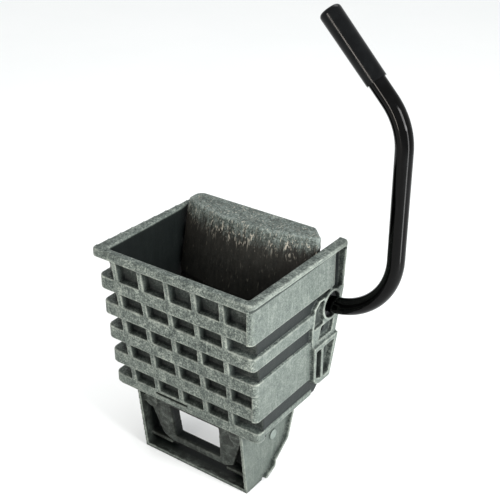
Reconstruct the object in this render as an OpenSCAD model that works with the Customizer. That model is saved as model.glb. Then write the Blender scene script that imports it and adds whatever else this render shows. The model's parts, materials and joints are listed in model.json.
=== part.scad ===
// Side-press mop wringer: a moulded basket with a lower bracket, a press plate that
// swings on two pivot pins, and a bent tube handle whose crank arms push the plate.
// Working frame: X across, Y from front to back, Z up from the bracket's bottom edge.
// Every node is then moved so that the origin is the middle of the bucket-rim seat.

/* [Basket] */
// Clear width of the basket's mouth
mouth_w = 250; // [200:1:320]
// Depth from the mouth's front edge to the rear edge of the side walls
body_d = 228; // [210:1:280]
// Height of the bracket, from its bottom edge to the basket's lowest rib
bracket_h = 117; // [100:1:150]
// Lean of the front face, in degrees
front_lean = 6.8; // [3:0.1:9]
// Thickness of the basket's walls
wall = 5; // [4:0.5:7]
// Width of the rim in front of the mouth
rim_front = 12.5; // [9:0.5:16]
// Width of the rim beside the mouth
rim_side = 15.5; // [14:0.5:20]
// How much further the left rim stands out at the front, and less at the back
rim_splay = 6; // [0:0.5:8]
// Height of the rim band
rim_h = 13; // [10:0.5:16]
// Height of the thin lip that stands out over the right side
lip_h = 6.5; // [4:0.5:8]

/* [Lattice] */
// Height of the top row of windows
top_row_h = 33; // [26:0.5:40]
// Distance from one horizontal rib to the next
row_pitch = 45.6; // [40:0.1:52]
// Height of a horizontal rib
rib_h = 21.3; // [16:0.1:25]
// Height of the lowest rib
low_rib_h = 16.6; // [12:0.1:22]
// Depth of a window behind the front face
cell_depth = 16; // [12:0.5:20]
// Distance from one upright to the next
upright_pitch = 48.3; // [42:0.1:54]
// Width of an upright
upright_w = 9; // [6:0.5:12]
// How far the left shelves stand out from the mouth's side
shelf_out = 18; // [16:0.5:20]
// How far the right skin stands out from the mouth's side at the rim
skin_out = 12; // [10:0.5:14]

/* [Bracket] */
// Width over the bracket's cheeks
bracket_w = 200; // [170:1:230]
// Thickness of a cheek
cheek_t = 5; // [4:0.5:7]
// Width of the window in the apron
apron_window_w = 94; // [60:1:110]
// Height of the window in the apron
apron_window_h = 61; // [40:1:70]

/* [Seat on the bucket] */
// Height of the seat above the basket's lowest rib
seat_rise = 30; // [24:1:40]
// Distance from the mouth's front edge to the middle of the seat bar
seat_y = 182; // [176:1:186]

/* [Press plate] */
// Distance from the mouth's front edge to the pivot
pivot_y = 96; // [90:1:104]
// Drop from the basket's lowest rib to the pivot
pivot_drop = 45; // [37:1:53]
// Radius of the pivot pins
pin_r = 6; // [4:0.25:8]
// Backward lean of the plate at rest, in degrees
plate_lean = 12.7; // [10:0.1:15]
// Forward bulge of the plate's middle
bulge = 24; // [12:1:32]
// Thickness of the plate's wall
plate_wall = 6; // [4:0.5:8]
// Gap between the plate and each side wall
side_gap = 4; // [2:0.5:6]
// Height of the plate's top above the rim
plate_rise = 14.5; // [6:1:20]
// Depth of the plate's top box behind the pivot line
top_box_back = 43; // [38:1:50]

/* [Handle] */
// Outer diameter of the handle tube
tube_od = 25.4; // [21:0.1:31]
// Wall of the handle tube
tube_wall = 2; // [1.2:0.1:3]
// Distance from the mouth's front edge to the shaft axis
shaft_y = 192; // [186:1:198]
// Drop from the rim to the shaft axis
shaft_drop = 94; // [86:1:110]
// Distance from the basket's right side wall to the upright part of the handle
handle_reach = 112; // [100:1:160]
// Centreline radius of the lower bend
low_bend_r = 105; // [90:1:105]
// Length of the upright part between the bends
upright_len = 160.5; // [120:0.5:260]
// Centreline radius of the upper bend
top_bend_r = 96; // [70:1:120]
// Inward lean of the top part, in degrees
top_lean = 43.4; // [20:0.1:60]
// Length of the straight top part
top_len = 141.7; // [120:0.1:200]
// Length of the hand grip
grip_len = 112; // [90:1:118]
// Thickness of the grip's wall at its open end
grip_wall = 2.3; // [1.5:0.1:4]
// Thickness that the grip gains towards its closed end
grip_flare = 0.7; // [0:0.1:1.5]

/* [Crank] */
// Distance from the shaft axis to the roller axis
crank_len = 60; // [54:1:64]
// Forward lean of the crank arm at rest, in degrees
crank_start = 5; // [0:1:10]
// Turn of the handle, in degrees
handle_turn = 95; // [60:1:100]
// Turn of the plate for each degree of the handle
plate_ratio = 0.2; // [0.16:0.01:0.21]
// Radius of a roller
roller_r = 12; // [9:0.5:13]
// Length of a roller
roller_len = 15.4; // [10:0.1:18]
// Radius of a roller's pin
roller_pin_r = 5; // [3.5:0.25:6]
// Distance from the middle plane to the inner face of an arm's hub
hub_x = 28; // [20:1:40]
// Length of an arm's hub
hub_len = 24; // [20:1:30]
// Thickness of an arm
arm_t = 8; // [5:0.5:10]
// Thickness of a wear strip
strip_t = 8; // [6:0.5:10]

/* [Fits] */
// Radial clearance of a turning fit
run_gap = 0.08; // [0.02:0.01:0.1]
// Gap between pieces that move past each other
part_gap = 0.4; // [0.3:0.05:0.8]

/* [Hidden] */
$fn = 48;

foam_grey = "#8b9089";
plate_grey = "#6f716b";
tube_black = "#15161a";
vinyl_black = "#1b1b1d";
zinc = "#b9bcc0";
steel = "#8f9296";
nylon = "#e6e3d8";
rubber = "#222222";

rows = 5;
eps = 0.01;
far = 600;
mouth_half = mouth_w / 2;
wall_x = mouth_half + wall;
rim_z = bracket_h + low_rib_h + (rows - 1) * row_pitch + top_row_h + rim_h;
band_z = rim_z - rim_h;
slope = tan(front_lean);
skin_taper = 5;
corner_r = 9;
rim_end_r = 11;
lip_spread = 3;
shelf_r = 12;
side_z = bracket_h + 8;
seat_z = bracket_h + seat_rise;
pivot_z = bracket_h - pivot_drop;
cheek_x = bracket_w / 2;
cheek_in = cheek_x - cheek_t;
shaft_z = rim_z - shaft_drop;
boss_x = mouth_half + 14;
bushing_r = tube_od / 2 + 7.8;
bushing_flange_r = bushing_r + 3.5;
bushing_flange_t = side_gap - 1.5;
seat_bar = 12;
seat_bar_h = 38;
apron_back = 12;
tunnel_depth = 20;
floor_t = 5;
small_hole_r = 4;

// y of the sloping front face at height z
function front_y(z) = -rim_front + (rim_z - z) * slope;
// top and bottom of horizontal rib k, counted from the rim down
function rib_top(k) = band_z - top_row_h - (k - 1) * row_pitch;
function rib_low(k) = rib_top(k) - (k == rows ? low_rib_h : rib_h);
// x of the right skin at height z
function skin_x(z) = mouth_half + skin_out - skin_taper * (rim_z - z) / (rim_z - bracket_h);
// y of the side walls' rear edge at height z
back_turn_z = shaft_z + 15;
back_low_z = seat_z + 3;
back_low_y = seat_y + seat_bar / 2;
function back_y(z) = z > back_turn_z ? body_d
    : z < back_low_z ? back_low_y
    : back_low_y + (body_d - back_low_y) * (z - back_low_z) / (back_turn_z - back_low_z);

module seated() { translate([0, -seat_y, -seat_z]) children(); }
module both_sides() { children(); mirror([1, 0, 0]) children(); }
module left_side() { mirror([1, 0, 0]) children(); }
// a profile drawn in (y, z), as a plate from x0 to x1
module slab_x(x0, x1, pts) {
    translate([x0, 0, 0]) rotate([90, 0, 90]) linear_extrude(x1 - x0) polygon(pts);
}
// a profile drawn in (x, z), as a plate from y0 to y1
module slab_y(y0, y1, pts) {
    translate([0, y1, 0]) rotate([90, 0, 0]) linear_extrude(y1 - y0) polygon(pts);
}
// a plan drawn in (x, y), as a plate from z0 to z1
module slab_z(z0, z1) { translate([0, 0, z0]) linear_extrude(z1 - z0) children(); }
// a round bar along X
module bar_x(x0, x1, r, y, z) { translate([x0, y, z]) rotate([0, 90, 0]) cylinder(r = r, h = x1 - x0); }
module block(lo, hi) { translate(lo) cube(hi - lo); }
// a hexagonal prism along Z, as a bolt head or a nut
module hex(af, h) { cylinder(r = af / sqrt(3), h = h, $fn = 6); }

// ---------------------------------------------------------------- basket

// points of a quarter round about (x, y) that starts at angle a
function quarter(x, y, r, a, n = 6) =
    [for (i = [0:n]) let (t = a + 90 * i / n) [x + r * cos(t), y + r * sin(t)]];
// a plan outline that is rounded at its two front corners
module front_rounded(x0, x1, y0, y1, r0, r1) {
    polygon(concat(quarter(x0 + r0, y0 + r0, r0, 180), quarter(x1 - r1, y0 + r1, r1, 270),
        [[x1, y1], [x0, y1]]));
}

// the rim in plan: its left edge draws in towards the back, and its right edge spreads to a
// round rear end
module rim_plan(right_x, spread) {
    r = corner_r;
    right_back = right_x + spread;
    left_front = -mouth_half - rim_side - rim_splay;
    left_back = -mouth_half - rim_side + rim_splay;
    difference() {
        polygon(concat(
            quarter(left_front + r, -rim_front + r, r, 180),
            quarter(right_x - r, -rim_front + r, r, 270),
            quarter(right_back - rim_end_r, body_d - rim_end_r, rim_end_r, 0),
            [[left_back, body_d]]));
        translate([-mouth_half, 0]) square([mouth_w, far]);
    }
}

module rim() {
    slab_z(rim_z - lip_h, rim_z) rim_plan(mouth_half + rim_side, lip_spread);
    slab_z(band_z, rim_z - lip_h) rim_plan(skin_x(rim_z), 0);
    slab_x(-mouth_half, mouth_half,
        [[-eps, rim_z], [-eps, band_z], [front_y(band_z) + cell_depth + wall, band_z]]);
}

module front_wall() {
    y_low = front_y(bracket_h) + cell_depth;
    y_top = front_y(band_z) + cell_depth;
    slab_x(-wall_x, wall_x, [[y_low, bracket_h], [y_low + wall, bracket_h],
        [y_top + wall, band_z], [y_top, band_z]]);
}

side_outline = [
    [front_y(side_z) + cell_depth, side_z], [front_y(band_z) + cell_depth, band_z + eps],
    [body_d, band_z + eps], [body_d, back_turn_z], [back_low_y, back_low_z],
    [back_low_y, seat_z], [back_low_y - 26, side_z]];

module side_wall() { slab_x(mouth_half, wall_x, side_outline); }

// the flange along a side wall's rear edge, which widens up to the lip
module rear_flange() {
    t = 4;
    y1 = body_d - rim_end_r / 2;
    slab_y(y1 - t, y1, [[wall_x - eps, back_turn_z], [mouth_half + skin_out + 2, back_turn_z],
        [mouth_half + rim_side + lip_spread - 1, rim_z - lip_h], [wall_x - eps, rim_z - lip_h]]);
    slab_x(wall_x - eps, mouth_half + skin_out, [[back_low_y - t, back_low_z], [back_low_y, back_low_z],
        [body_d, back_turn_z], [body_d - t, back_turn_z]]);
}

// a horizontal rib: across the front and back along the left side as a shelf
module rib(k) {
    z = (rib_top(k) + rib_low(k)) / 2;
    y0 = front_y(z);
    y1 = min(back_y(rib_low(k)), body_d) - 14;
    slab_z(rib_low(k), rib_top(k)) difference() {
        front_rounded(-mouth_half - shelf_out, skin_x(z), y0, y1, shelf_r, corner_r);
        translate([-wall_x + eps, y0 + cell_depth + eps]) square([far, far]);
    }
}

// a smooth panel on the right side, between two heights and as far back as y1
module skin(z0, z1, y1) {
    z = (z0 + z1) / 2;
    x1 = skin_x(z);
    y0 = front_y(z);
    slab_z(z0, z1) polygon(concat(quarter(x1 - corner_r, y0 + corner_r, corner_r, 270),
        [[x1, y1], [wall_x - eps, y1], [wall_x - eps, y0 + cell_depth],
            [x1 - corner_r, y0 + cell_depth]]));
}

// an upright of the front lattice, which leans towards the middle as it goes down
module upright(x) {
    shrink = 0.955;
    w = upright_w / 2;
    slab_y(-rim_front, front_y(bracket_h) + cell_depth, [[x * shrink - w, bracket_h],
        [x * shrink + w, bracket_h], [x + w, band_z], [x - w, band_z]]);
}

module uprights() {
    inset = 0.8;
    y_low = front_y(bracket_h);
    y_top = front_y(band_z);
    last = floor((mouth_w + shelf_out + skin_out) / upright_pitch) - 1;
    intersection() {
        union() for (i = [0:last]) upright(upright_pitch * (i - last / 2) - 10.5);
        slab_x(-far, far, [[y_low + inset, bracket_h + inset], [y_low + cell_depth + eps, bracket_h + inset],
            [y_top + cell_depth + eps, band_z + eps], [y_top + inset, band_z + eps]]);
    }
}

// the short uprights between the left shelves
module left_uprights() {
    w = 6;
    inset = 2;
    for (y = [48, 98, 148])
        block([-mouth_half - shelf_out + inset, y - w / 2, side_z], [-wall_x + eps, y + w / 2, band_z]);
}

// ---------------------------------------------------------------- boss and seat

module boss_solid() {
    slab_x(wall_x - eps, mouth_half + skin_out, [[143, seat_z + 66], [143, shaft_z - 24],
        [148, shaft_z + 10], [160, shaft_z + 19], [body_d - eps, shaft_z + 19], [body_d - eps, back_turn_z],
        [back_y(seat_z + 66), seat_z + 66]]);
    bar_x(wall_x - eps, boss_x, bushing_r + 4, shaft_y, shaft_z);
}

module seat_solid() {
    slab_x(wall_x - eps, mouth_half + 17, [[143, seat_z + 68], [143, seat_z + 12], [149, seat_z + 3],
        [158, seat_z], [back_low_y, seat_z], [back_low_y, back_low_z], [back_y(seat_z + 68), seat_z + 68]]);
}

module side_pockets() {
    x0 = wall_x + 0.5;
    difference() {
        slab_x(x0, far, [[147, shaft_z - 24], [152, shaft_z + 8], [163, shaft_z + 16],
            [172, shaft_z + 16], [172, shaft_z - 24]]);
        bar_x(wall_x, far + 1, bushing_r + 4, shaft_y, shaft_z);
    }
    slab_x(x0, far, [[160, seat_z + 73], [167, shaft_z - 27], [201, shaft_z - 27], [196, seat_z + 73]]);
    slab_x(x0, far, [[149, seat_z + 14], [149, seat_z + 60], [162, seat_z + 60], [162, seat_z + 9]]);
    slab_x(x0, far, [[168, seat_z + 8], [168, seat_z + 60], [back_y(seat_z + 60) - 8, seat_z + 60],
        [back_low_y - 5, seat_z + 8]]);
    bar_x(mouth_half - eps, far, small_hole_r, 178, seat_z + 84);
}

module seat_bar_solid() {
    t = 4;
    difference() {
        block([-mouth_half - eps, seat_y - seat_bar / 2, seat_z],
            [mouth_half + eps, seat_y + seat_bar / 2, seat_z + seat_bar_h]);
        block([-mouth_half + t, seat_y - seat_bar / 2 + t, seat_z + t],
            [mouth_half - t, seat_y + seat_bar / 2 - t, seat_z + seat_bar_h + t]);
    }
}

// ---------------------------------------------------------------- bracket

cheek_outline = [[front_y(side_z), side_z + floor_t], [front_y(0), 0], [69, 5], [72, 5], [95, 15],
    [97, 25], [129, 48], [147, side_z - 25], [143, side_z + floor_t]];

module cheek() {
    slab_x(cheek_in, cheek_x, cheek_outline);
    slab_x(cheek_x - eps, cheek_x + 8, [[68, 8], [72, 5], [95, 15], [97, 25], [129, 48], [147, side_z - 25],
        [143, side_z], [139, side_z], [143, side_z - 25], [126, 51], [94, 27], [92, 18]]);
    // floor of the basket outside the cheek
    block([cheek_in, front_y(side_z) + cell_depth, side_z], [wall_x - eps, 143, side_z + floor_t]);
}

apron_top_z = bracket_h + eps;
apron_win_top = bracket_h - 18;
apron_win_low = apron_win_top - apron_window_h;

module apron_slab(y_off, t) {
    slab_x(-far, far, [[front_y(0) + y_off, 0], [front_y(0) + y_off + t, 0],
        [front_y(bracket_h) + y_off + t, apron_top_z], [front_y(bracket_h) + y_off, apron_top_z]]);
}

module apron() {
    hw = apron_window_w / 2;
    high = apron_win_top;
    low = apron_win_low;
    end_x = cheek_in - 7;
    frame_t = 4;
    difference() {
        union() {
            intersection() {
                slab_y(0, far, [[-end_x, apron_top_z], [-end_x, high - 7], [-hw - 21, low - 4],
                    [-hw - 5, low - 12], [hw + 5, low - 12], [hw + 21, low - 4], [end_x, high - 7],
                    [end_x, apron_top_z]]);
                apron_slab(apron_back, wall);
            }
            intersection() {
                slab_y(0, far, [[-hw - frame_t, high + frame_t], [-hw - frame_t + 3, low - frame_t],
                    [hw + frame_t - 3, low - frame_t], [hw + frame_t, high + frame_t]]);
                apron_slab(apron_back, tunnel_depth);
            }
            both_sides() {
                intersection() {
                    translate([cheek_in - 13, 0, high - 1]) rotate([-90, 0, 0]) cylinder(r = 13, h = 60);
                    apron_slab(apron_back - 4, tunnel_depth);
                }
                // gussets that join the apron to the cheeks
                intersection() {
                    block([cheek_in - 10, 0, high - 15], [cheek_in + eps, 60, apron_top_z]);
                    apron_slab(apron_back + 2, tunnel_depth - 4);
                }
                intersection() {
                    block([cheek_in - 42, 0, 18], [cheek_in + eps, 60, 24]);
                    apron_slab(apron_back + 1, tunnel_depth - 4);
                }
            }
        }
        slab_y(0, far, [[-hw, high], [-hw + 3, low], [hw - 3, low], [hw, high]]);
    }
}

module bracket_floor() {
    y0 = front_y(bracket_h) + apron_back;
    slots = floor((cheek_in - 10) / 19);
    difference() {
        block([-cheek_in - eps, y0 + wall - eps, bracket_h - 10], [cheek_in + eps, 78, bracket_h - 5]);
        for (x = [-slots:slots])
            block([x * 19 - 3, y0 + 14, bracket_h - 12], [x * 19 + 3, 70, bracket_h]);
    }
    // front wall of the basket carried down to the floor
    block([-cheek_in - eps, y0 + wall - eps, bracket_h - 10],
        [cheek_in + eps, front_y(bracket_h) + cell_depth + wall, bracket_h + eps]);
}

// a blind slot along the middle of the lowest rib
module rib_slot() {
    z = bracket_h + low_rib_h / 2;
    block([-61, front_y(bracket_h) - 5, z], [1, front_y(z) + cell_depth - 2, z + 3.5]);
}

// walls behind the apron's outer ends
module apron_webs() {
    t = 4;
    y = front_y(0) + apron_back + tunnel_depth - t;
    both_sides() block([apron_window_w / 2 + 9, y, 2], [cheek_in + eps, y + t, bracket_h - 9]);
}

module bottom_plate() {
    t = 4;
    block([-cheek_x, front_y(0) + eps, 0], [cheek_x, 70, t]);
    block([-cheek_x, front_y(0), 0], [cheek_x, front_y(0) + 3, t + 2]);
}

// bosses inside the side walls that carry the rubber stops
module stop_boss() {
    on_plate() block([mouth_half - 20, stop_t1, stop_s - 11], [mouth_half + eps, stop_t1 + 10, stop_s + 11]);
}

module wringer_frame() {
    color(foam_grey) seated() difference() {
        union() {
            rim();
            front_wall();
            both_sides() side_wall();
            both_sides() rear_flange();
            for (k = [1:rows]) rib(k);
            uprights();
            left_uprights();
            skin(rib_low(1), rim_z - lip_h, body_d - 27);
            skin(rib_low(2), rib_top(2), 152);
            skin(rib_low(4), rib_top(3), 152);
            skin(rib_low(5) + 8, rib_top(5), 152);
            both_sides() boss_solid();
            both_sides() seat_solid();
            seat_bar_solid();
            both_sides() cheek();
            apron();
            bracket_floor();
            apron_webs();
            bottom_plate();
            both_sides() stop_boss();
        }
        rib_slot();
        both_sides() side_pockets();
        both_sides() bar_x(mouth_half - 1, far, bushing_r, shaft_y, shaft_z);
        both_sides() bar_x(cheek_in - 1, cheek_x + 1, pin_r + run_gap, pivot_y, pivot_z);
        both_sides() bar_x(mouth_half - 1, mouth_half + 4, anchor_r, anchor_y, anchor_z);
    }
}

// ---------------------------------------------------------------- press plate
// Local frame: origin on the pivot axis, Y towards the back of the plate, Z up along it.

module on_plate() { translate([0, pivot_y, pivot_z]) rotate([-plate_lean, 0, 0]) children(); }
// a point (y, z) of the working frame, in the plate's frame, when the plate has turned by a
function to_plate(p, a) = let (q = [p[0] - pivot_y, p[1] - pivot_z], t = plate_lean - a)
    [q[0] * cos(t) - q[1] * sin(t), q[0] * sin(t) + q[1] * cos(t)];

plate_half = mouth_half - side_gap;
tail_half = cheek_in - 3;
bulge_r = (plate_half * plate_half + bulge * bulge) / (2 * bulge);
front_t = -8;
flange_t = 34;
plate_top_z = rim_z + plate_rise;
// heights along the plate
top_s = (plate_top_z - pivot_z) / cos(plate_lean) + top_box_back * tan(plate_lean);
wide_s = (side_z + floor_t + 12 - pivot_z) / cos(plate_lean) + flange_t * tan(plate_lean);
roller_pos = [shaft_y - crank_len * sin(crank_start), shaft_z + crank_len * cos(crank_start)];
box_s = to_plate(roller_pos, 0)[1] + roller_r + 4;
step_s = box_s - 90;
stop_s = box_s - 34;
stop_t0 = flange_t + part_gap;
stop_t1 = stop_t0 + 5;
pivot_boss_r = pin_r + 8;

// t of the plate's rear surface at x
function wall_back(x) = front_t + bulge_r - sqrt((bulge_r - plate_wall) * (bulge_r - plate_wall) - x * x);

// the curved wall in plan, from its front skin to its back, as wide as 2 * half
module curved_wall(half, front_cut) {
    intersection() {
        difference() {
            translate([0, front_t + bulge_r]) circle(bulge_r - front_cut, $fn = 180);
            translate([0, front_t + bulge_r]) circle(bulge_r - plate_wall, $fn = 180);
        }
        translate([-half, front_t]) square([2 * half, 60]);
    }
}

// the outline of the top box, with its right rear corner cut off and its left one eased
module top_plan(inset) {
    cut = 24;
    cut_left = 8;
    intersection() {
        translate([0, front_t + bulge_r]) circle(bulge_r - inset, $fn = 180);
        polygon([[-plate_half + inset, front_t], [-plate_half + inset, top_box_back - cut_left],
            [-plate_half + cut_left, top_box_back - inset], [plate_half - cut, top_box_back - inset],
            [plate_half - inset, top_box_back - cut], [plate_half - inset, front_t]]);
    }
}

module below_top(dz) {
    translate([-far, pivot_y - far, plate_top_z - dz - far]) cube([2 * far, 2 * far, far]);
}

// centre of the roller in the plate's frame when the handle has turned by a
function roller_at(a) = to_plate([shaft_y - crank_len * sin(crank_start + a),
    shaft_z + crank_len * cos(crank_start + a)], plate_ratio * a);
cam_steps = 16;
cam_start = -9;
cam_end = handle_turn + 5;
function cam_angle(i) = cam_start + (cam_end - cam_start) * i / cam_steps;
// unit normal of the roller's path, towards the front of the plate
function cam_normal(a) = let (d = roller_at(a + 1) - roller_at(a - 1), n = norm(d)) [d[1] / n, -d[0] / n];
// a curve that runs at a set distance in front of the roller's path
function cam_line(dist) =
    [for (i = [0:cam_steps]) let (a = cam_angle(i)) roller_at(a) + dist * cam_normal(a)];
function reversed(v) = [for (i = [len(v) - 1:-1:0]) v[i]];
face_gap = roller_r + part_gap;

roller_x0 = hub_x + hub_len + 2;
roller_x1 = roller_x0 + roller_len;
strip_x0 = roller_x0 - 1;
strip_x1 = roller_x1 + 1;
strip_x = (strip_x0 + strip_x1) / 2;
screw_angles = [4, 34, 72];

module cam_rib() {
    outer = cam_line(face_gap + strip_t);
    slab_x(strip_x0, strip_x1, concat([[wall_back(strip_x0) - 1, outer[0][1]]], outer,
        [[wall_back(strip_x0) - 1, outer[cam_steps][1]]]));
}

// frame on a strip's surface where the roller touches it: Z along the outward normal
module on_strip(a) {
    p = roller_at(a) + face_gap * cam_normal(a);
    n = cam_normal(a);
    translate([strip_x, p[0], p[1]]) rotate([atan2(n[0], -n[1]), 0, 0]) children();
}

module drain_holes() {
    side = 7;
    for (x = [12, 32, 82, 100], s = [step_s - 16, step_s - 36, step_s - 56])
        both_sides() block([x - side / 2, front_t - 1, s - side / 2], [x + side / 2, 30, s + side / 2]);
}

module press_plate() {
    color(plate_grey) seated() difference() {
        intersection() {
            on_plate() {
                translate([0, 0, step_s]) linear_extrude(top_s - step_s) curved_wall(plate_half, 0);
                translate([0, 0, wide_s]) linear_extrude(step_s - wide_s + eps) curved_wall(plate_half, 1.5);
                translate([0, 0, 2]) linear_extrude(wide_s - 2 + eps) curved_wall(tail_half, 1.5);
                difference() {
                    translate([0, 0, box_s]) linear_extrude(top_s - box_s + 20) top_plan(0);
                    for (x = [-1, 0, 1]) intersection() {
                        translate([0, 0, box_s - 1]) linear_extrude(14) top_plan(plate_wall);
                        block([x * 78 - 36, -60, 0], [x * 78 + 36, 60, far]);
                    }
                }
                both_sides() {
                    block([plate_half - 5, wall_back(plate_half) - 3, wide_s],
                        [plate_half, flange_t, box_s + eps]);
                    block([tail_half - 5, wall_back(tail_half) - 3, 2], [tail_half, 26, wide_s + 30]);
                    cam_rib();
                    bar_x(tail_half - 18, tail_half, pivot_boss_r, 0, 0);
                }
                for (s = [30, wide_s + 4, step_s - 70])
                    intersection() {
                        translate([0, 0, s]) linear_extrude(5) top_plan(0);
                        half = s < wide_s ? tail_half : plate_half;
                        block([-half, -60, s - 1], [half, 18, s + 6]);
                    }
            }
            below_top(0);
        }
        on_plate() {
            both_sides() bar_x(tail_half - 19, tail_half + 1, pin_r, 0, 0);
            both_sides() for (a = screw_angles) on_strip(a) translate([0, 0, -strip_t - 9])
                cylinder(r = 1.6, h = 20);
            drain_holes();
        }
    }
}

module cam_strip() {
    color(nylon) seated() on_plate() difference() {
        slab_x(strip_x0, strip_x1, concat(cam_line(face_gap), reversed(cam_line(face_gap + strip_t))));
        for (a = screw_angles) on_strip(a) {
            translate([0, 0, -strip_t - 5]) cylinder(r = 2.2, h = strip_t + 10);
            translate([0, 0, -4.5]) cylinder(r = 4.2, h = 10);
        }
    }
}
module cam_strip_right() { cam_strip(); }
module cam_strip_left() { left_side() cam_strip(); }

module strip_screws() {
    color(zinc) seated() on_plate() for (a = screw_angles) on_strip(a) {
        translate([0, 0, -strip_t - 8]) cylinder(r = 1.6, h = strip_t + 5);
        translate([0, 0, -4.5]) difference() {
            cylinder(r = 3.9, h = 3);
            translate([0, 0, 1.4]) hex(3, 4);
        }
    }
}
module strip_screws_right() { strip_screws(); }
module strip_screws_left() { left_side() strip_screws(); }

module pivot_pin() {
    head_t = 1.6;
    color(steel) seated() {
        bar_x(tail_half - 16, cheek_x + part_gap + eps, pin_r, pivot_y, pivot_z);
        bar_x(cheek_x + part_gap, cheek_x + part_gap + head_t, pin_r + 2, pivot_y, pivot_z);
    }
}
module pivot_pin_right() { pivot_pin(); }
module pivot_pin_left() { left_side() pivot_pin(); }

// ---------------------------------------------------------------- handle

tube_r = tube_od / 2;
handle_x = mouth_half + handle_reach;
shaft_left_x = -boss_x - 10;
top_z = shaft_z + low_bend_r + upright_len;
tube_top_len = top_len - 3.5;

// the handle's centreline swept by a round section of radius r
module handle_sweep(r, tail) {
    weld = 0.5;
    weld_rise = 0.05;
    bar_x(shaft_left_x - tail, handle_x - low_bend_r, r, shaft_y, shaft_z);
    translate([handle_x - low_bend_r, shaft_y, shaft_z + low_bend_r]) rotate([90, 0, 0]) rotate([0, 0, -90])
        rotate_extrude(angle = 90, $fn = 96) translate([low_bend_r, 0]) circle(r);
    translate([handle_x, shaft_y, shaft_z + low_bend_r]) cylinder(r = r, h = upright_len);
    translate([handle_x - top_bend_r, shaft_y, top_z]) rotate([90, 0, 0])
        rotate_extrude(angle = top_lean, $fn = 96) translate([top_bend_r, 0]) circle(r);
    on_top() {
        translate([0, 0, weld / 2]) cylinder(r = r, h = tube_top_len - weld / 2 + tail);
        translate([0, 0, -weld]) cylinder(r = r + weld_rise, h = 2 * weld);
    }
}

// frame at the start of the straight top part: Z along it
module on_top() {
    translate([handle_x - top_bend_r, shaft_y, top_z]) rotate([0, -top_lean, 0]) translate([top_bend_r, 0, 0])
        children();
}

module handle_tube() {
    color(tube_black) seated() difference() {
        handle_sweep(tube_r, 0);
        handle_sweep(tube_r - tube_wall, 1);
        for (side = [-1, 1]) on_crank() translate([side * (hub_x + bolt_in), -far, 0]) rotate([-90, 0, 0])
            cylinder(r = bolt_r, h = 2 * far);
        translate([cotter_x, shaft_y, shaft_z - 20]) cylinder(r = cotter_r, h = 40);
    }
}

module hand_grip() {
    r0 = tube_r + grip_wall;
    r1 = r0 + grip_flare;
    end_r = 6;
    color(vinyl_black) seated() on_top() translate([0, 0, top_len - grip_len]) difference() {
        rotate_extrude() {
            polygon([[0, 0], [r0, 0], [r1, grip_len - end_r], [0, grip_len - end_r]]);
            translate([0, grip_len - end_r - eps]) square([r1 - end_r, end_r + eps]);
            intersection() {
                translate([r1 - end_r, grip_len - end_r]) circle(end_r);
                square([r1, grip_len]);
            }
        }
        translate([0, 0, -1]) cylinder(r = tube_r, h = grip_len - 2.5);
    }
}

module tube_plug() {
    color(vinyl_black) seated() {
        bar_x(shaft_left_x - eps, shaft_left_x + 2, tube_r - tube_wall, shaft_y, shaft_z);
        bar_x(shaft_left_x - 2, shaft_left_x, tube_r - 0.5, shaft_y, shaft_z);
    }
}

cotter_x = -boss_x - 5.5;
cotter_r = 1.8;
module shaft_washer() {
    color(zinc) seated() difference() {
        bar_x(-boss_x - part_gap - 2, -boss_x - part_gap, tube_r + 5, shaft_y, shaft_z);
        bar_x(-boss_x - 4, -boss_x, tube_r + 0.05, shaft_y, shaft_z);
    }
}

module cotter_pin() {
    color(zinc) seated() translate([cotter_x, shaft_y, shaft_z]) {
        translate([0, 0, -tube_r - 6]) cylinder(r = cotter_r, h = tube_od + 9);
        translate([0, 0, tube_r + 6]) rotate([0, 90, 0]) translate([0, 0, -cotter_r / 2])
            difference() {
                cylinder(r = 4.5, h = cotter_r);
                translate([0, 0, -1]) cylinder(r = 2.5, h = cotter_r + 2);
            }
    }
}

module bushing() {
    color(tube_black) seated() difference() {
        union() {
            bar_x(mouth_half - bushing_flange_t, mouth_half, bushing_flange_r, shaft_y, shaft_z);
            bar_x(mouth_half - eps, mouth_half + 6.8, bushing_r, shaft_y, shaft_z);
        }
        bar_x(0, far, tube_r + run_gap, shaft_y, shaft_z);
    }
}
module shaft_bushing_right() { bushing(); }
module shaft_bushing_left() { left_side() bushing(); }

// ---------------------------------------------------------------- cranks

// frame on the shaft axis with Z along the crank arm at rest
module on_crank() { translate([0, shaft_y, shaft_z]) rotate([crank_start, 0, 0]) children(); }
hub_r = tube_r + 7.3;
bolt_r = 4;
bolt_in = 8;
arm_end_r = 10.5;

module crank_arm() {
    color(steel) seated() on_crank() difference() {
        union() {
            bar_x(hub_x, hub_x + hub_len, hub_r, 0, 0);
            slab_x(hub_x + hub_len - arm_t, hub_x + hub_len,
                [[-hub_r + 3, 5], [-arm_end_r, crank_len], [arm_end_r, crank_len], [hub_r - 3, 5]]);
            bar_x(hub_x + hub_len - arm_t, hub_x + hub_len, arm_end_r, 0, crank_len);
        }
        bar_x(0, far, tube_r + 0.05, 0, 0);
        bar_x(0, far, roller_pin_r, 0, crank_len);
        translate([hub_x + bolt_in, -50, 0]) rotate([-90, 0, 0]) cylinder(r = bolt_r, h = 100);
    }
}
module crank_arm_right() { crank_arm(); }
module crank_arm_left() { left_side() crank_arm(); }

module arm_bolt() {
    color(zinc) seated() on_crank() translate([hub_x + bolt_in, 0, 0]) rotate([90, 0, 0]) {
        translate([0, 0, -hub_r - 8]) cylinder(r = bolt_r - 0.05, h = 2 * hub_r + 8 + eps);
        translate([0, 0, hub_r]) hex(13, 5);
    }
}
module arm_bolt_right() { arm_bolt(); }
module arm_bolt_left() { left_side() arm_bolt(); }

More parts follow.
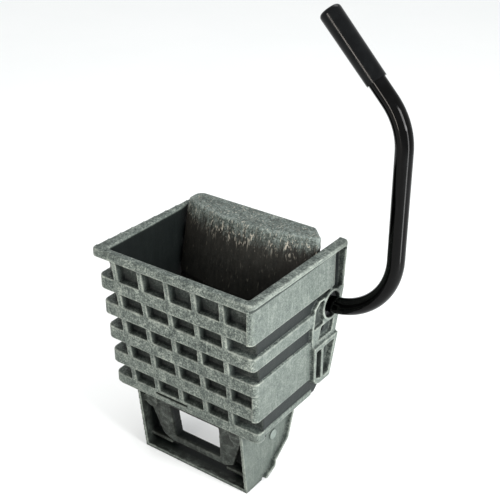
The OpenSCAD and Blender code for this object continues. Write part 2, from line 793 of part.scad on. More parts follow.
module arm_nut() {
    color(zinc) seated() on_crank() translate([hub_x + bolt_in, 0, 0]) rotate([90, 0, 0])
        translate([0, 0, -hub_r - 6.5]) difference() {
            hex(13, 6.5);
            translate([0, 0, -1]) cylinder(r = bolt_r, h = 9);
        }
}
module arm_nut_right() { arm_nut(); }
module arm_nut_left() { left_side() arm_nut(); }

clip_t = 1.2;
module roller_pin() {
    x0 = hub_x + hub_len - arm_t;
    x1 = roller_x1 + 4;
    color(steel) seated() on_crank() difference() {
        union() {
            bar_x(x0 - 3, x0, roller_pin_r + 2.5, 0, crank_len);
            bar_x(x0 - eps, x1, roller_pin_r, 0, crank_len);
        }
        difference() {
            bar_x(roller_x1 + 1, roller_x1 + 1 + clip_t, roller_pin_r + 1, 0, crank_len);
            bar_x(roller_x1, roller_x1 + 3, roller_pin_r - 1, 0, crank_len);
        }
    }
}
module roller_pin_right() { roller_pin(); }
module roller_pin_left() { left_side() roller_pin(); }

module roller_clip() {
    color(zinc) seated() on_crank() difference() {
        bar_x(roller_x1 + 1, roller_x1 + 1 + clip_t, roller_pin_r + 3, 0, crank_len);
        bar_x(roller_x1, roller_x1 + 3, roller_pin_r - 1, 0, crank_len);
        block([roller_x1, -2.6, crank_len], [roller_x1 + 4, 2.6, crank_len + 12]);
    }
}
module roller_clip_right() { roller_clip(); }
module roller_clip_left() { left_side() roller_clip(); }

module cam_roller() {
    color(nylon) seated() on_crank() difference() {
        bar_x(roller_x0, roller_x1, roller_r, 0, crank_len);
        bar_x(0, far, roller_pin_r + run_gap, 0, crank_len);
    }
}
module cam_roller_right() { cam_roller(); }
module cam_roller_left() { left_side() cam_roller(); }

// ---------------------------------------------------------------- springs and stops

wire_r = 1.6;
coil_r = tube_r + 4;
leg_r = wire_r + 0.3;
coils = 6;
spring_x = mouth_half - 42;
anchor_r = 3.5;
anchor_y = shaft_y + coil_r + leg_r + anchor_r;
anchor_z = shaft_z - 26;

module spring() {
    pitch = 1.8 * wire_r;
    color(zinc) seated() translate([0, shaft_y, shaft_z]) {
        for (i = [0:coils]) translate([spring_x + i * pitch, 0, 0]) rotate([0, 90, 0])
            rotate_extrude() translate([coil_r, 0]) circle(wire_r);
        translate([spring_x + coils * pitch, coil_r, -36]) cylinder(r = leg_r, h = 36);
        bar_x(hub_x + hub_len + 1, spring_x, wire_r - 0.3, coil_r, 0);
    }
}
module return_spring_right() { spring(); }
module return_spring_left() { left_side() spring(); }

module anchor() {
    color(zinc) seated() {
        bar_x(spring_x + 8, mouth_half + 4, anchor_r, anchor_y, anchor_z);
        bar_x(spring_x + 6, spring_x + 8, anchor_r + 2, anchor_y, anchor_z);
    }
}
module spring_anchor_right() { anchor(); }
module spring_anchor_left() { left_side() anchor(); }

module bumper() {
    color(rubber) seated() on_plate()
        block([mouth_half - 18, stop_t0, stop_s - 9], [mouth_half - 2, stop_t1, stop_s + 9]);
}
module stop_bumper_right() { bumper(); }
module stop_bumper_left() { left_side() bumper(); }

wringer_frame();
shaft_bushing_left();
shaft_bushing_right();
stop_bumper_left();
stop_bumper_right();
return_spring_left();
return_spring_right();
spring_anchor_left();
spring_anchor_right();
press_plate();
cam_strip_left();
cam_strip_right();
strip_screws_left();
strip_screws_right();
pivot_pin_left();
pivot_pin_right();
handle_tube();
hand_grip();
tube_plug();
shaft_washer();
cotter_pin();
crank_arm_left();
crank_arm_right();
arm_bolt_left();
arm_bolt_right();
arm_nut_left();
arm_nut_right();
roller_pin_left();
roller_pin_right();
roller_clip_left();
roller_clip_right();
cam_roller_left();
cam_roller_right();
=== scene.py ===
# Looks of a side-press mop wringer: structural-foam basket and press plate, enamelled tube
# handle with a vinyl grip, and the plated steel, nylon and rubber pieces of its linkage.
import bpy
import bmesh
import json
from math import radians, sin, cos, pi
from mathutils import Vector, Matrix


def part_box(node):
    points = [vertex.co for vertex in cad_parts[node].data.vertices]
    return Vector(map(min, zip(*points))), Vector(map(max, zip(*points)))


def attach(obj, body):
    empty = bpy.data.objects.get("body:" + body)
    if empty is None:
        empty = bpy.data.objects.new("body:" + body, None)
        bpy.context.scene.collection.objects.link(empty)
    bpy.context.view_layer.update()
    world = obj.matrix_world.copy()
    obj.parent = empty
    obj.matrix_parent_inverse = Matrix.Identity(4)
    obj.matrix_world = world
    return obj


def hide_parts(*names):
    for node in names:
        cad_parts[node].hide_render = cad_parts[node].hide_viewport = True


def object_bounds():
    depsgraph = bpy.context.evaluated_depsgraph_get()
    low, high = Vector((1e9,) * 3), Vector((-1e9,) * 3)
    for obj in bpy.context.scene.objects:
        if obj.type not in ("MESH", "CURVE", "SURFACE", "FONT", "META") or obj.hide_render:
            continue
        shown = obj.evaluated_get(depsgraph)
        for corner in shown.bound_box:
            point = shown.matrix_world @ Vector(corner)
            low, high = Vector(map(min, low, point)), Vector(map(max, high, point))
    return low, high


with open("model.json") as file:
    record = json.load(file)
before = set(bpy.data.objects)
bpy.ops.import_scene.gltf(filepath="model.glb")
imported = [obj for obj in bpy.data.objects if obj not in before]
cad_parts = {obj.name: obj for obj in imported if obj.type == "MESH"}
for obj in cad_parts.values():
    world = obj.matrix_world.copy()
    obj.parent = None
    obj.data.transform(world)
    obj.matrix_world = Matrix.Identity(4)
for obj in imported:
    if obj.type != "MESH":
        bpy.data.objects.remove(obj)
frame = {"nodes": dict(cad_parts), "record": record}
nodes = frame["nodes"]
scene = bpy.context.scene
cad_low, cad_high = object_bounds()
MM = 0.001


# ---------------------------------------------------------------- camera, light and floor

def place_camera(target, azimuth, elevation, distance, lens):
    a, e = radians(azimuth), radians(elevation)
    back = Vector((sin(a) * cos(e), -cos(a) * cos(e), sin(e)))
    data = bpy.data.cameras.new("camera")
    data.lens = lens
    data.sensor_width = 36
    camera = bpy.data.objects.new("camera", data)
    camera.location = target + back * distance
    camera.rotation_euler = back.to_track_quat("Z", "Y").to_euler()
    scene.collection.objects.link(camera)
    scene.camera = camera


def softbox(name, place, aim, width, height, watts, tint="#ffffff"):
    data = bpy.data.lights.new(name, "AREA")
    data.shape = "RECTANGLE"
    data.size, data.size_y = width, height
    data.energy = watts
    data.color = linear(tint)[:3]
    lamp = bpy.data.objects.new(name, data)
    lamp.location = place
    lamp.rotation_euler = (Vector(place) - Vector(aim)).to_track_quat("Z", "Y").to_euler()
    scene.collection.objects.link(lamp)


def linear(hex_colour):
    channels = [int(hex_colour[i:i + 2], 16) / 255 for i in (1, 3, 5)]
    return [c / 12.92 if c <= 0.04045 else ((c + 0.055) / 1.055) ** 2.4 for c in channels] + [1.0]


place_camera(target=Vector((0.0523, -0.078, 0.2224)), azimuth=36.01, elevation=27.94,
    distance=1.4522, lens=74.1)
scene.view_settings.view_transform = "Standard"

world = bpy.data.worlds.new("studio")
scene.world = world
world.use_nodes = True
world.node_tree.nodes["Background"].inputs["Color"].default_value = linear("#fbfcfc")
world.node_tree.nodes["Background"].inputs["Strength"].default_value = 0.95

middle = (cad_low + cad_high) / 2
# each has its place, what it is aimed at, its width and height, and its power
softbox("key", (1.7, -0.4, 0.95), middle, 0.6, 0.8, 34)
softbox("overhead", (0.1, 0.9, 1.9), middle, 1.3, 0.9, 12)
# a low strip at the right and a tall one in front draw the bright lines along the tube and grip
softbox("right_strip", (0.9, -0.1, 0.22), (0.24, 0.0, 0.22), 0.14, 0.7, 5)
softbox("front_strip", (-0.1, -1.9, 0.45), (0.1, 0.0, 0.45), 0.2, 1.1, 18, "#fff6ec")


# ---------------------------------------------------------------- finishes

def add(tree, kind, sockets, **settings):
    """A node with its settings, whose sockets take a value or the output that feeds them."""
    node = tree.nodes.new(kind)
    for name, value in settings.items():
        setattr(node, name, value)
    for name, value in sockets.items():
        if isinstance(value, bpy.types.NodeSocket):
            tree.links.new(value, node.inputs[name])
        else:
            node.inputs[name].default_value = value
    return node.outputs


def finish_of(name):
    material = bpy.data.materials.new(name)
    material.use_nodes = True
    tree = material.node_tree
    shader = tree.nodes["Principled BSDF"]
    place = add(tree, "ShaderNodeTexCoord", {})["Object"]
    return material, tree, shader, place


def feed(tree, shader, **sockets):
    for name, value in sockets.items():
        socket = shader.inputs[name.replace("_", " ").title().replace("Ior", "IOR")]
        if isinstance(value, bpy.types.NodeSocket):
            tree.links.new(value, socket)
        else:
            socket.default_value = value


BASKET_LOW, BASKET_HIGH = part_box("wringer_frame")
# how far the basket's front face leans back for each unit of height
FRONT_SLOPE = 0.1192
# the share of the foam's shade that comes from its flecks; the rest comes from its swirls
FLECK_SHARE = 0.62
# how far a polished side panel evens that shade out
PANEL_EVENNESS = 0.62


def structural_foam(name, shades, crevice_shade, interior):
    """Moulded structural-foam polyethylene: grey swirls and fine flecks where the foaming gas
    streaked the skin, edges paler from scuffs and painted highlight, and painted shade in
    creases, in recesses and on tops that face up."""
    material, tree, shader, place = finish_of(name)
    dark, mid, light, edge_wear_and_highlight = [linear(s) for s in shades]
    # swirls of gas streaks, about 17 mm across
    swirl = add(tree, "ShaderNodeTexNoise", {"Vector": place, "Scale": 60, "Detail": 6,
        "Roughness": 0.72, "Distortion": 0.9})[0]
    # flecks of the foamed skin are about 1 mm, drawn at 2.6 mm so that they show
    fleck = add(tree, "ShaderNodeTexNoise", {"Vector": place, "Scale": 380, "Detail": 3,
        "Roughness": 0.7})[0]
    # scuffs that run down the walls, 5 mm wide and about 65 mm long
    tall = add(tree, "ShaderNodeMapping", {"Vector": place, "Scale": (1, 1, 0.08)})[0]
    scuff = add(tree, "ShaderNodeTexNoise", {"Vector": tall, "Scale": 190, "Detail": 4,
        "Roughness": 0.6})[0]
    swirl_tone = add(tree, "ShaderNodeMapRange", {"Value": swirl, "From Min": 0.36, "From Max": 0.64})[0]
    fleck_tone = add(tree, "ShaderNodeMapRange", {"Value": fleck, "From Min": 0.34, "From Max": 0.66})[0]
    # the side panels come from polished tool faces, so swirls and flecks fade on them
    facing = add(tree, "ShaderNodeTexCoord", {})["Normal"]
    facing = add(tree, "ShaderNodeSeparateXYZ", {"Vector": facing})
    sideways = add(tree, "ShaderNodeMath", {0: facing["X"]}, operation="ABSOLUTE")[0]
    panel = add(tree, "ShaderNodeMapRange", {"Value": sideways, "From Min": 0.6, "From Max": 0.95})[0]
    tone = add(tree, "ShaderNodeMix", {0: FLECK_SHARE, 2: swirl_tone, 3: fleck_tone})[0]
    even = add(tree, "ShaderNodeMath", {0: panel, 1: PANEL_EVENNESS}, operation="MULTIPLY")[0]
    tone = add(tree, "ShaderNodeMix", {0: even, 2: tone, 3: 0.6})[0]
    # painted shade: tops that face up are made darker than the side panels
    painted_top_shade = add(tree, "ShaderNodeMapRange", {"Value": facing["Z"], "From Min": 0.6, "From Max": 0.95,
        "To Max": 0.06})[0]
    tone = add(tree, "ShaderNodeMath", {0: tone, 1: painted_top_shade}, operation="SUBTRACT")[0]
    low = add(tree, "ShaderNodeMapRange", {"Value": tone, "From Min": 0.1, "From Max": 0.5})[0]
    high = add(tree, "ShaderNodeMapRange", {"Value": tone, "From Min": 0.5, "From Max": 0.92})[0]
    skin = add(tree, "ShaderNodeMix", {0: low, 6: dark, 7: mid}, data_type="RGBA")[2]
    skin = add(tree, "ShaderNodeMix", {0: high, 6: skin, 7: light}, data_type="RGBA")[2]
    scuff_tone = add(tree, "ShaderNodeMapRange", {"Value": scuff, "From Min": 0.52, "From Max": 0.78,
        "To Max": 0.4})[0]
    skin = add(tree, "ShaderNodeMix", {0: scuff_tone, 6: skin, 7: light}, data_type="RGBA")[2]

    # corners are paler, partly rubbed wear and partly painted highlight, more where the swirls stand up
    curve = add(tree, "ShaderNodeNewGeometry", {})["Pointiness"]
    edge = add(tree, "ShaderNodeMapRange", {"Value": curve, "From Min": 0.505, "From Max": 0.55,
        "To Max": 0.7})[0]
    worn = add(tree, "ShaderNodeMapRange", {"Value": swirl, "From Min": 0.4, "From Max": 0.6,
        "To Min": 0.45})[0]
    rubbed_and_highlit = add(tree, "ShaderNodeMath", {0: edge, 1: worn}, operation="MULTIPLY")[0]
    skin = add(tree, "ShaderNodeMix", {0: rubbed_and_highlit, 6: skin, 7: edge_wear_and_highlight}, data_type="RGBA")[2]
    # and inner corners are darker: painted shade in the creases
    crease_shade = add(tree, "ShaderNodeMapRange", {"Value": curve, "From Min": 0.492, "From Max": 0.46,
        "To Max": 0.6})[0]
    skin = add(tree, "ShaderNodeMix", {0: crease_shade, 6: skin, 7: linear(crevice_shade)}, data_type="RGBA")[2]

    # painted shade: darker where walls stand close together, from an ambient-occlusion mask
    open_sky = add(tree, "ShaderNodeAmbientOcclusion", {"Distance": 18 * MM}, samples=6)["AO"]
    occlusion_shade = add(tree, "ShaderNodeMapRange", {"Value": open_sky, "From Min": 0.86, "From Max": 0.3,
        "To Max": 0.92})[0]
    skin = add(tree, "ShaderNodeMix", {0: occlusion_shade, 6: skin, 7: linear(crevice_shade)}, data_type="RGBA")[2]
    skin = interior(tree, place, skin, scuff, swirl_tone)

    rough = add(tree, "ShaderNodeMapRange", {"Value": fleck, "To Min": 0.42, "To Max": 0.72})[0]
    ripple = add(tree, "ShaderNodeBump", {"Height": fleck, "Strength": 0.35,
        "Distance": 0.5 * MM})[0]
    ripple = add(tree, "ShaderNodeBump", {"Height": swirl, "Normal": ripple, "Strength": 0.3,
        "Distance": 1.5 * MM})[0]
    feed(tree, shader, base_color=skin, roughness=rough, normal=ripple, ior=1.5, specular_ior_level=0.2)
    return material


def basket_stains_and_shade(tree, place, skin, scuff, swirl):
    """The basket is dark inside the mouth, between the ribs and in the bracket: painted shade, partly
    stain where it stays wet. Depth is measured behind the sloping front face."""
    x, y, z = add(tree, "ShaderNodeSeparateXYZ", {"Vector": place})
    lean = add(tree, "ShaderNodeMath", {0: z, 1: FRONT_SLOPE,
        2: -BASKET_LOW.y - BASKET_HIGH.z * FRONT_SLOPE}, operation="MULTIPLY_ADD")[0]
    depth = add(tree, "ShaderNodeMath", {0: y, 1: lean}, operation="ADD")[0]
    half = add(tree, "ShaderNodeMath", {0: x}, operation="ABSOLUTE")[0]
    # painted shade: the lower half is made darker
    painted_low_shade = add(tree, "ShaderNodeMapRange", {"Value": z, "From Min": 90 * MM, "From Max": -60 * MM,
        "To Max": 0.34})[0]
    skin = add(tree, "ShaderNodeMix", {0: painted_low_shade, 6: skin, 7: linear("#3a413c")}, data_type="RGBA")[2]
    # painted shadow: a thin dark line under the lip on the right
    over = add(tree, "ShaderNodeMapRange", {"Value": z, "From Min": 206.6 * MM,
        "From Max": 205.8 * MM})[0]
    under = add(tree, "ShaderNodeMapRange", {"Value": z, "From Min": 201.4 * MM,
        "From Max": 202.4 * MM})[0]
    outer = add(tree, "ShaderNodeMapRange", {"Value": x, "From Min": 133 * MM, "From Max": 134 * MM,
        "To Max": 0.85})[0]
    lip_shadow = add(tree, "ShaderNodeMath", {0: over, 1: under}, operation="MULTIPLY")[0]
    lip_shadow = add(tree, "ShaderNodeMath", {0: lip_shadow, 1: outer}, operation="MULTIPLY")[0]
    skin = add(tree, "ShaderNodeMix", {0: lip_shadow, 6: skin, 7: linear("#1c2321")}, data_type="RGBA")[2]
    # the bracket below the basket is narrower, so its cheeks count as outside
    waist = add(tree, "ShaderNodeMapRange", {"Value": z, "From Min": -29 * MM, "From Max": -30 * MM,
        "To Min": 131 * MM, "To Max": 99 * MM})[0]
    half = add(tree, "ShaderNodeMath", {0: half, 1: waist}, operation="SUBTRACT")[0]
    # painted shade, partly wet stain: between the ribs it is darkest deep in, and it stops below the rim
    between = add(tree, "ShaderNodeMapRange", {"Value": depth, "From Min": 8 * MM,
        "From Max": 15 * MM})[0]
    within = add(tree, "ShaderNodeMapRange", {"Value": half, "From Min": 0, "From Max": -0.6 * MM})[0]
    recess_shade = add(tree, "ShaderNodeMath", {0: between, 1: within}, operation="MULTIPLY")[0]
    below_rim = add(tree, "ShaderNodeMapRange", {"Value": z, "From Min": 213 * MM,
        "From Max": 208 * MM})[0]
    recess_shade = add(tree, "ShaderNodeMath", {0: recess_shade, 1: below_rim}, operation="MULTIPLY")[0]
    groove = add(tree, "ShaderNodeMapRange", {"Value": half, "From Min": -3 * MM, "From Max": -2 * MM,
        "To Min": 0.7, "To Max": 0.93})[0]
    recess_shade = add(tree, "ShaderNodeMath", {0: recess_shade, 1: groove}, operation="MULTIPLY")[0]
    skin = add(tree, "ShaderNodeMix", {0: recess_shade, 6: skin, 7: linear("#101516")}, data_type="RGBA")[2]
    # painted shade, partly wet stain: inside the bracket the dark starts at its front edge, and the apron
    # shows through it in swirls
    low = add(tree, "ShaderNodeMapRange", {"Value": z, "From Min": -29 * MM, "From Max": -31 * MM})[0]
    behind = add(tree, "ShaderNodeMapRange", {"Value": depth, "From Min": 0.8 * MM,
        "From Max": 2 * MM})[0]
    low = add(tree, "ShaderNodeMath", {0: low, 1: behind}, operation="MULTIPLY")[0]
    cheeks = add(tree, "ShaderNodeMapRange", {"Value": half, "From Min": -3.2 * MM,
        "From Max": -3.8 * MM})[0]
    low = add(tree, "ShaderNodeMath", {0: low, 1: cheeks}, operation="MULTIPLY")[0]
    patchy = add(tree, "ShaderNodeMapRange", {"Value": swirl, "To Min": 0.96, "To Max": 0.35})[0]
    low = add(tree, "ShaderNodeMath", {0: low, 1: patchy}, operation="MULTIPLY")[0]
    skin = add(tree, "ShaderNodeMix", {0: low, 6: skin, 7: linear("#0f120d")}, data_type="RGBA")[2]
    # painted shade, partly wet stain: inside the mouth the walls are nearly black, with wet streaks, up to
    # just below the rim
    deep = add(tree, "ShaderNodeMapRange", {"Value": depth, "From Min": 17 * MM, "From Max": 20 * MM})[0]
    inside = add(tree, "ShaderNodeMapRange", {"Value": half, "From Min": -3 * MM, "From Max": -4 * MM})[0]
    inside = add(tree, "ShaderNodeMath", {0: deep, 1: inside}, operation="MULTIPLY")[0]
    sunk = add(tree, "ShaderNodeMapRange", {"Value": z, "From Min": 212.5 * MM,
        "From Max": 210.5 * MM})[0]
    inside = add(tree, "ShaderNodeMath", {0: inside, 1: sunk}, operation="MULTIPLY")[0]
    inside = add(tree, "ShaderNodeMath", {0: inside, 1: 0.9}, operation="MULTIPLY")[0]
    streaked = add(tree, "ShaderNodeMix", {0: scuff, 6: linear("#030505"), 7: linear("#0d1414")},
        data_type="RGBA")[2]
    return add(tree, "ShaderNodeMix", {0: inside, 6: skin, 7: streaked}, data_type="RGBA")[2]


def plate_stains_and_shade(tree, place, skin, scuff, swirl):
    """The plate's face is dark below the rim, partly brown wear from wet mops and partly painted shade,
    with pale runs; its top is left lighter and scuffed.
    """
    z = add(tree, "ShaderNodeSeparateXYZ", {"Vector": place})["Z"]
    runs = add(tree, "ShaderNodeMath", {0: scuff, 1: 60 * MM, 2: -30 * MM}, operation="MULTIPLY_ADD")[0]
    height = add(tree, "ShaderNodeMath", {0: z, 1: runs}, operation="ADD")[0]
    # painted shade, partly brown stain: the face darkens below the rim's height, its edge broken by the
    # runs
    low = add(tree, "ShaderNodeMapRange", {"Value": height, "From Min": 225 * MM,
        "From Max": 200 * MM})[0]
    face_stain_and_shade = add(tree, "ShaderNodeMix", {0: scuff, 6: linear("#040607"), 7: linear("#312e29")},
        data_type="RGBA")[2]
    low = add(tree, "ShaderNodeMath", {0: low, 1: 0.95}, operation="MULTIPLY")[0]
    skin = add(tree, "ShaderNodeMix", {0: low, 6: skin, 7: face_stain_and_shade}, data_type="RGBA")[2]
    # chalky scuffs where mops are dragged over the top edge, 5 mm wide, 23 mm long and hooked
    bent = add(tree, "ShaderNodeMapping", {"Vector": place, "Rotation": (0, radians(24), 0),
        "Scale": (1, 1, 0.22)})[0]
    drag = add(tree, "ShaderNodeTexNoise", {"Vector": bent, "Scale": 200, "Detail": 3,
        "Distortion": 1.8})[0]
    drag = add(tree, "ShaderNodeMapRange", {"Value": drag, "From Min": 0.58, "From Max": 0.68,
        "To Max": 0.85})[0]
    # they lie within 26 mm of the height of the basket's rim
    near = add(tree, "ShaderNodeMath", {0: z, 1: -214 * MM}, operation="ADD")[0]
    near = add(tree, "ShaderNodeMath", {0: near}, operation="ABSOLUTE")[0]
    near = add(tree, "ShaderNodeMapRange", {"Value": near, "From Min": 26 * MM, "From Max": 6 * MM})[0]
    drag = add(tree, "ShaderNodeMath", {0: drag, 1: near}, operation="MULTIPLY")[0]
    skin = add(tree, "ShaderNodeMix", {0: drag, 6: skin, 7: linear("#b9b4a6")}, data_type="RGBA")[2]
    # thin pale runs below them, 3 mm wide and 90 mm long
    tall = add(tree, "ShaderNodeMapping", {"Vector": place, "Scale": (1, 1, 0.035)})[0]
    run = add(tree, "ShaderNodeTexNoise", {"Vector": tall, "Scale": 320, "Detail": 2})[0]
    run = add(tree, "ShaderNodeMapRange", {"Value": run, "From Min": 0.64, "From Max": 0.74,
        "To Max": 0.5})[0]
    return add(tree, "ShaderNodeMix", {0: run, 6: skin, 7: linear("#6d6a60")}, data_type="RGBA")[2]


def black_enamel():
    """Baked black enamel on the bent tube: deep gloss with a faint orange peel and dulled patches
    where hands and buckets have rubbed it."""
    material, tree, shader, place = finish_of("baked_black_enamel")
    # orange peel of sprayed enamel, 3 mm from crest to crest
    peel = add(tree, "ShaderNodeTexNoise", {"Vector": place, "Scale": 330, "Detail": 2})[0]
    # rubbed patches about 30 mm long
    rub = add(tree, "ShaderNodeTexNoise", {"Vector": place, "Scale": 33, "Detail": 6,
        "Roughness": 0.7})[0]
    patch = add(tree, "ShaderNodeMapRange", {"Value": rub, "From Min": 0.52, "From Max": 0.72})[0]
    skin = add(tree, "ShaderNodeMix", {0: patch, 6: linear("#010101"), 7: linear("#060607")},
        data_type="RGBA")[2]
    gloss = add(tree, "ShaderNodeMapRange", {"Value": patch, "To Min": 0.07, "To Max": 0.2})[0]
    ripple = add(tree, "ShaderNodeBump", {"Height": peel, "Strength": 0.05, "Distance": 0.3 * MM})[0]
    feed(tree, shader, base_color=skin, roughness=gloss, normal=ripple, ior=1.52,
        specular_ior_level=0.1)
    return material


def dipped_vinyl():
    """Dip-moulded black vinyl: satin, slightly pebbled, greyed where it is held."""
    material, tree, shader, place = finish_of("dip_moulded_vinyl")
    # pebble of the dip, 2 mm across
    pebble = add(tree, "ShaderNodeTexNoise", {"Vector": place, "Scale": 500, "Detail": 2})[0]
    # greyed patches are 17 mm across
    held = add(tree, "ShaderNodeTexNoise", {"Vector": place, "Scale": 60, "Detail": 5,
        "Roughness": 0.6})[0]
    patch = add(tree, "ShaderNodeMapRange", {"Value": held, "From Min": 0.4, "From Max": 0.7})[0]
    skin = add(tree, "ShaderNodeMix", {0: patch, 6: linear("#040506"), 7: linear("#0a0c0d")},
        data_type="RGBA")[2]
    satin = add(tree, "ShaderNodeMapRange", {"Value": patch, "To Min": 0.12, "To Max": 0.24})[0]
    ripple = add(tree, "ShaderNodeBump", {"Height": pebble, "Strength": 0.05, "Distance": 0.3 * MM})[0]
    feed(tree, shader, base_color=skin, roughness=satin, normal=ripple, ior=1.54, specular_ior_level=0.12)
    return material


def plated_steel(name, bright, dull, rough):
    """Zinc-plated steel: a bluish metal with cloudy patches and softened corners."""
    material, tree, shader, place = finish_of(name)
    # clouds of the passivated plating, 8 mm across, with 1.5 mm crystals
    cloud = add(tree, "ShaderNodeTexNoise", {"Vector": place, "Scale": 125, "Detail": 5,
        "Distortion": 0.6})[0]
    spangle = add(tree, "ShaderNodeTexVoronoi", {"Vector": place, "Scale": 660})[0]
    tone = add(tree, "ShaderNodeMapRange", {"Value": cloud, "From Min": 0.35, "From Max": 0.65})[0]
    skin = add(tree, "ShaderNodeMix", {0: tone, 6: linear(dull), 7: linear(bright)}, data_type="RGBA")[2]
    gleam = add(tree, "ShaderNodeMapRange", {"Value": tone, "To Min": rough + 0.14, "To Max": rough})[0]
    soft = add(tree, "ShaderNodeBevel", {"Radius": 0.5 * MM}, samples=4)[0]
    ripple = add(tree, "ShaderNodeBump", {"Height": spangle, "Normal": soft, "Strength": 0.15,
        "Distance": 0.2 * MM})[0]
    feed(tree, shader, base_color=skin, roughness=gleam, normal=ripple, metallic=1.0)
    return material


def plain_plastic(name, low, high, rough, grain_mm):
    """A turned or moulded plastic: a close, even skin with slight changes of shade and gloss."""
    material, tree, shader, place = finish_of(name)
    # the shade changes over about 11 mm
    shade = add(tree, "ShaderNodeTexNoise", {"Vector": place, "Scale": 90, "Detail": 5,
        "Roughness": 0.6})[0]
    grain = add(tree, "ShaderNodeTexNoise", {"Vector": place, "Scale": 1 / (grain_mm * MM),
        "Detail": 2})[0]
    tone = add(tree, "ShaderNodeMapRange", {"Value": shade, "From Min": 0.35, "From Max": 0.65})[0]
    skin = add(tree, "ShaderNodeMix", {0: tone, 6: linear(low), 7: linear(high)}, data_type="RGBA")[2]
    gleam = add(tree, "ShaderNodeMapRange", {"Value": tone, "To Min": rough, "To Max": rough + 0.15})[0]
    soft = add(tree, "ShaderNodeBevel", {"Radius": 0.6 * MM}, samples=4)[0]
    ripple = add(tree, "ShaderNodeBump", {"Height": grain, "Normal": soft, "Strength": 0.2,
        "Distance": 0.2 * MM})[0]
    feed(tree, shader, base_color=skin, roughness=gleam, normal=ripple, ior=1.5)
    return material


FINISHES = {
    # in each foam the fourth shade is for paler edges, partly wear and partly painted highlight, and the
    # colour after it is the painted shade of creases and recesses
    "frame_foam": structural_foam("structural_foam_basket",
        ("#1f2624", "#4e5652", "#8a9189", "#a8aea4"), "#0a0e0e", basket_stains_and_shade),
    "plate_foam": structural_foam("structural_foam_plate",
        ("#262c29", "#4b5450", "#858e89", "#aeb7b2"), "#0b0e0f", plate_stains_and_shade),
    "pin_plastic": plain_plastic("moulded_grey_pin", "#5c6560", "#747e78", rough=0.55, grain_mm=1.5),
    "black_acetal": plain_plastic("turned_black_acetal", "#131416", "#1e1f22", rough=0.35, grain_mm=1.5),
    "black_rubber": plain_plastic("moulded_black_rubber", "#121212", "#242424", rough=0.7, grain_mm=1.0),
    "white_nylon": plain_plastic("moulded_natural_nylon", "#cfcabb", "#e4dfd2", rough=0.38, grain_mm=1.5),
    "zinc_steel": plated_steel("zinc_plated_steel", "#c3c8cc", "#8f959b", rough=0.28),
    "bright_steel": plated_steel("cast_plated_steel", "#a7abae", "#74787c", rough=0.36),
    "black_enamel": black_enamel(),
    "black_vinyl": dipped_vinyl(),
}


def wear(piece, slot_name):
    piece.data.materials.clear()
    piece.data.materials.append(FINISHES[slot_name])


for subpart in frame["record"]["subparts"]:
    wear(nodes[subpart["node"]], subpart["material_slot"])

# the pivot pins are the basket's plastic, but too small to show its streaks and stains
for side in ("left", "right"):
    nodes["pivot_pin_" + side].data.materials[0] = FINISHES["pin_plastic"]


# ---------------------------------------------------------------- pieces

def piece_from(bm, name, body, slot_name, *stands_for):
    mesh = bpy.data.meshes.new(name)
    bm.to_mesh(mesh)
    bm.free()
    piece = bpy.data.objects.new(name, mesh)
    scene.collection.objects.link(piece)
    wear(piece, slot_name)
    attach(piece, body)
    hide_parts(*stands_for)
    return piece


def joint_place(name):
    return next(j["pos_m"] for j in frame["record"]["behaviour"]["joints"] if j["name"] == name)


def body_of(node):
    return next(body for body, members in frame["record"]["behaviour"]["bodies"].items() if node in members)


def shaped(bm, *modifiers):
    """The mesh that a bmesh becomes once modifiers, each (kind, settings), have worked on it."""
    mesh = bpy.data.meshes.new("blank")
    bm.to_mesh(mesh)
    bm.free()
    blank = bpy.data.objects.new("blank", mesh)
    scene.collection.objects.link(blank)
    for kind, settings in modifiers:
        modifier = blank.modifiers.new(kind, kind)
        for name, value in settings.items():
            setattr(modifier, name, value)
    seen = blank.evaluated_get(bpy.context.evaluated_depsgraph_get())
    result = bmesh.new()
    result.from_mesh(seen.to_mesh())
    seen.to_mesh_clear()
    bpy.data.objects.remove(blank)
    bpy.data.meshes.remove(mesh)
    return result


def soften(bm, verts, rounds):
    for _ in range(rounds):
        bmesh.ops.smooth_vert(bm, verts=verts, factor=0.5, use_axis_x=True, use_axis_y=True,
            use_axis_z=True)


def shade_round(piece, sharp_degrees):
    piece.data.shade_smooth()
    piece.data.set_sharp_from_angle(angle=radians(sharp_degrees))


def moulded(node, name, crown_z, crown_rounds, triangles, body, slot_name):
    """A moulding whose corners are as soft as the tool leaves them: the CAD solid is remeshed at
    the grain, smoothed, and smoothed further in its crown, which is everything above crown_z."""
    bm = bmesh.new()
    bm.from_mesh(nodes[node].data)
    bmesh.ops.remove_doubles(bm, verts=bm.verts, dist=0.02 * MM)
    bm = shaped(bm, ("REMESH", {"mode": "VOXEL", "voxel_size": GRAIN}))
    soften(bm, bm.verts, 3)
    soften(bm, [v for v in bm.verts if v.co.z > crown_z], crown_rounds)
    # the remeshed faces are four-sided, so each counts as two triangles
    made = 2 * len(bm.faces)
    bm = shaped(bm, ("DECIMATE", {"ratio": min(1, triangles / made)}))
    piece = piece_from(bm, name, body, slot_name, node)
    shade_round(piece, 38)


# the size of the remeshed faces
GRAIN = 1.25 * MM
moulded("wringer_frame", "moulded_basket", crown_z=211 * MM, crown_rounds=8, triangles=192000,
    body="frame", slot_name="frame_foam")
moulded("press_plate", "moulded_plate", crown_z=216 * MM, crown_rounds=30, triangles=90000,
    body="press", slot_name="plate_foam")


def wire(bm, start, end, radius):
    """A straight round wire."""
    run = Vector(end) - Vector(start)
    turn = run.to_track_quat("Z", "Y").to_matrix().to_4x4()
    bmesh.ops.create_cone(bm, cap_ends=True, segments=14, radius1=radius, radius2=radius,
        depth=run.length, matrix=Matrix.Translation((Vector(start) + Vector(end)) / 2) @ turn)


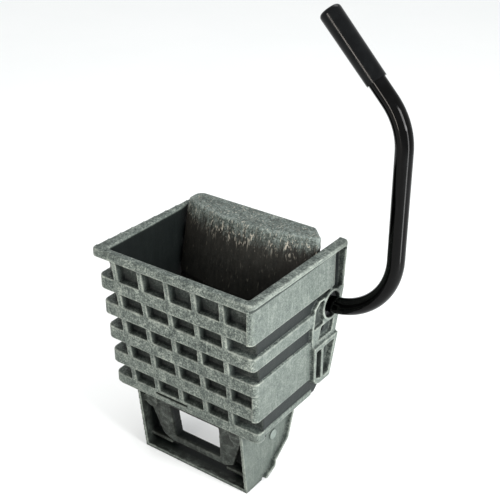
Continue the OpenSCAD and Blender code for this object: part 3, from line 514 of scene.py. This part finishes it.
def return_spring(node, side):
    """A wound torsion spring: its bar lies along the crank and its leg hooks on the anchor."""
    low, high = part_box(node)
    axis = Vector(joint_place("handle_turn"))
    wire_r, leg_r, turns, steps = 1.6 * MM, 1.9 * MM, 6, 28
    pitch = 1.8 * wire_r
    coil_r = high.z - axis.z - wire_r
    outer_x = side * (max(abs(low.x), abs(high.x)) - leg_r)
    inner_x = outer_x - side * turns * pitch
    bm = bmesh.new()
    ring = bmesh.ops.create_circle(bm, segments=12, radius=wire_r,
        matrix=Matrix.Translation((inner_x, axis.y + coil_r, axis.z)))["verts"]
    bmesh.ops.spin(bm, geom=ring + bm.edges[:], cent=(inner_x, axis.y, axis.z), axis=(1, 0, 0),
        dvec=(side * pitch / steps, 0, 0), angle=2 * pi * turns, steps=turns * steps)
    bmesh.ops.holes_fill(bm, edges=[e for e in bm.edges if e.is_boundary])
    bmesh.ops.recalc_face_normals(bm, faces=bm.faces)
    corner = Vector((inner_x, axis.y + coil_r, axis.z))
    bmesh.ops.create_uvsphere(bm, u_segments=14, v_segments=8, radius=wire_r,
        matrix=Matrix.Translation(corner))
    wire(bm, corner, (side * min(abs(low.x), abs(high.x)), corner.y, corner.z), wire_r)
    wire(bm, (outer_x, corner.y, axis.z), (outer_x, corner.y, low.z), wire_r)
    name = node.replace("return_spring", "wound_spring")
    shade_round(piece_from(bm, name, body_of(node), "zinc_steel", node), 40)


def split_pin(node):
    """A split pin: an eye of wire on top, and two legs bent apart below the tube."""
    low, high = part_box(node)
    x, y = (low.x + high.x) / 2, (low.y + high.y) / 2
    wire_r = 0.9 * MM
    eye_r = (high.y - low.y) / 2 - wire_r
    eye_z = high.z - eye_r - wire_r
    bm = bmesh.new()
    for side in (-1, 1):
        top = Vector((x, y + side * wire_r, eye_z - eye_r + 0.4 * MM))
        knee = Vector((x, top.y, low.z + 5 * MM))
        wire(bm, top, knee, wire_r)
        bmesh.ops.create_uvsphere(bm, u_segments=12, v_segments=8, radius=wire_r,
            matrix=Matrix.Translation(knee))
        wire(bm, knee, knee + Vector((0, side * 2.4 * MM, -4 * MM)), wire_r)
    ring = bmesh.ops.create_circle(bm, segments=12, radius=wire_r,
        matrix=Matrix.Translation((x, y + eye_r, eye_z)))["verts"]
    around = [e for e in bm.edges if e.is_wire]
    bmesh.ops.spin(bm, geom=ring + around, cent=(x, y, eye_z), axis=(1, 0, 0), angle=2 * pi,
        steps=28, use_merge=True)
    bmesh.ops.recalc_face_normals(bm, faces=bm.faces)
    shade_round(piece_from(bm, "split_pin", body_of(node), "zinc_steel", node), 40)


split_pin("cotter_pin")
return_spring("return_spring_right", 1)
return_spring("return_spring_left", -1)


# ---------------------------------------------------------------- floor

def pale_floor():
    material, tree, shader, place = finish_of("pale_studio_floor")
    cloud = add(tree, "ShaderNodeTexNoise", {"Vector": place, "Scale": 3, "Detail": 3})[0]
    shade = add(tree, "ShaderNodeMix", {0: cloud, 6: linear("#d4d6d6"), 7: linear("#d8d9d9")},
        data_type="RGBA")[2]
    feed(tree, shader, base_color=shade, roughness=0.85, emission_color=shade, emission_strength=0.35)
    bm = bmesh.new()
    bmesh.ops.create_grid(bm, x_segments=1, y_segments=1, size=9)
    bmesh.ops.translate(bm, vec=(0, 0, cad_low.z - 0.2 * MM), verts=bm.verts)
    mesh = bpy.data.meshes.new("floor")
    bm.to_mesh(mesh)
    bm.free()
    floor = bpy.data.objects.new("floor", mesh)
    floor.data.materials.append(material)
    scene.collection.objects.link(floor)


pale_floor()
